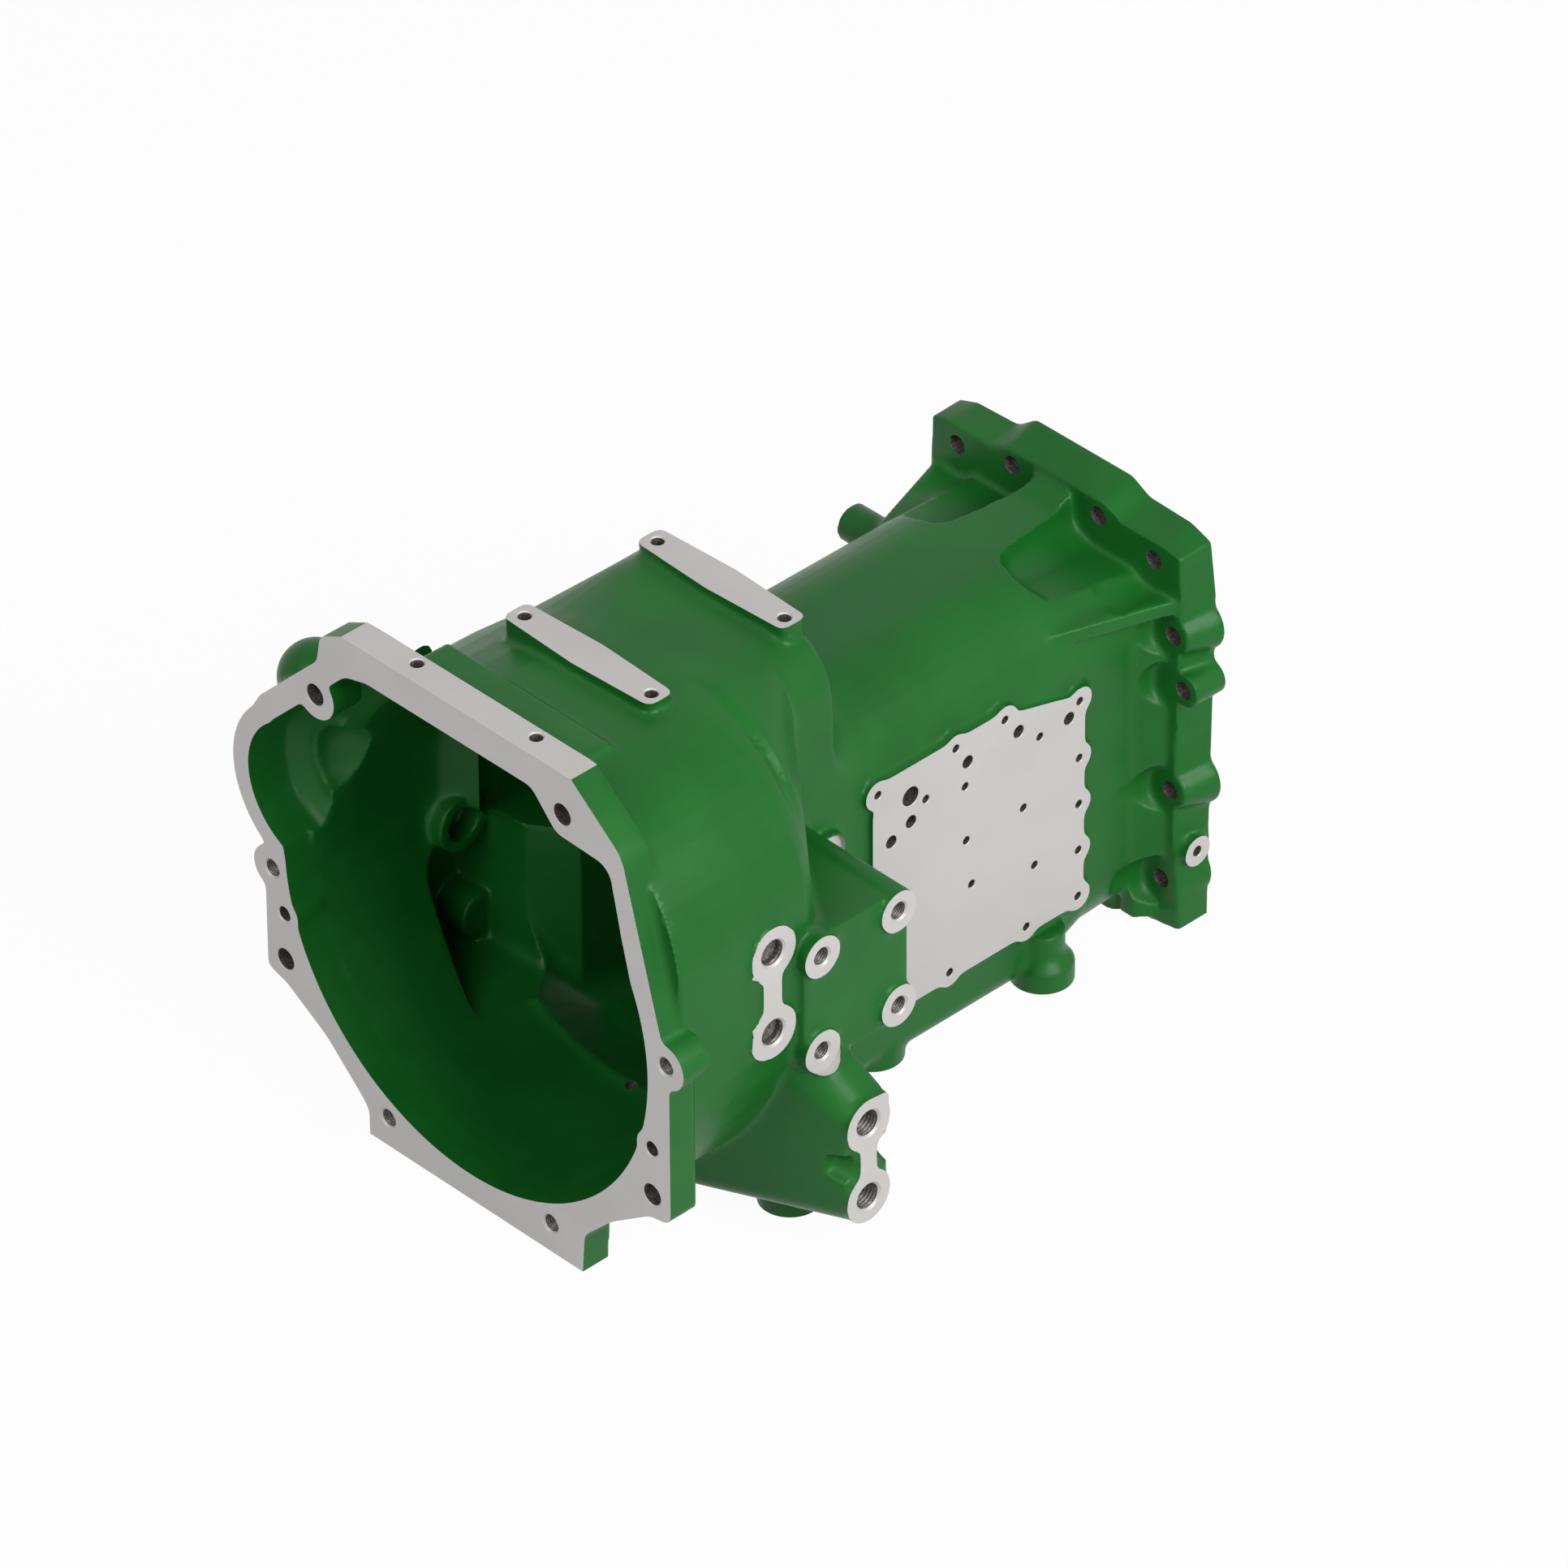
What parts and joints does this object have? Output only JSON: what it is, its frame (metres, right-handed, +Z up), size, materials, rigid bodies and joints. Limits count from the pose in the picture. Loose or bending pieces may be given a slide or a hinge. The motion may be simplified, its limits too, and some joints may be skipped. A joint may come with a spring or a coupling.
{
  "type": "clutch housing",
  "caption": "Cast clutch housing: an open bell with a wide engine flange that narrows through a saddle into a box-shaped tube with a gearbox flange, machined pads on top and on both sides.",
  "frame": {"origin": "on the crank axis, in the machined face that bolts to the engine", "axes": "+Y along the crank axis to the gearbox, +Z up, +X towards the side with the valve plate"},
  "size_m": [0.49, 0.625, 0.438],
  "materials": {
    "painted_casting": "satin green paint over cast iron, machined faces bare"
  },
  "bodies": {
    "root": {"clutch_housing": "painted_casting"}
  },
  "joints": []
}
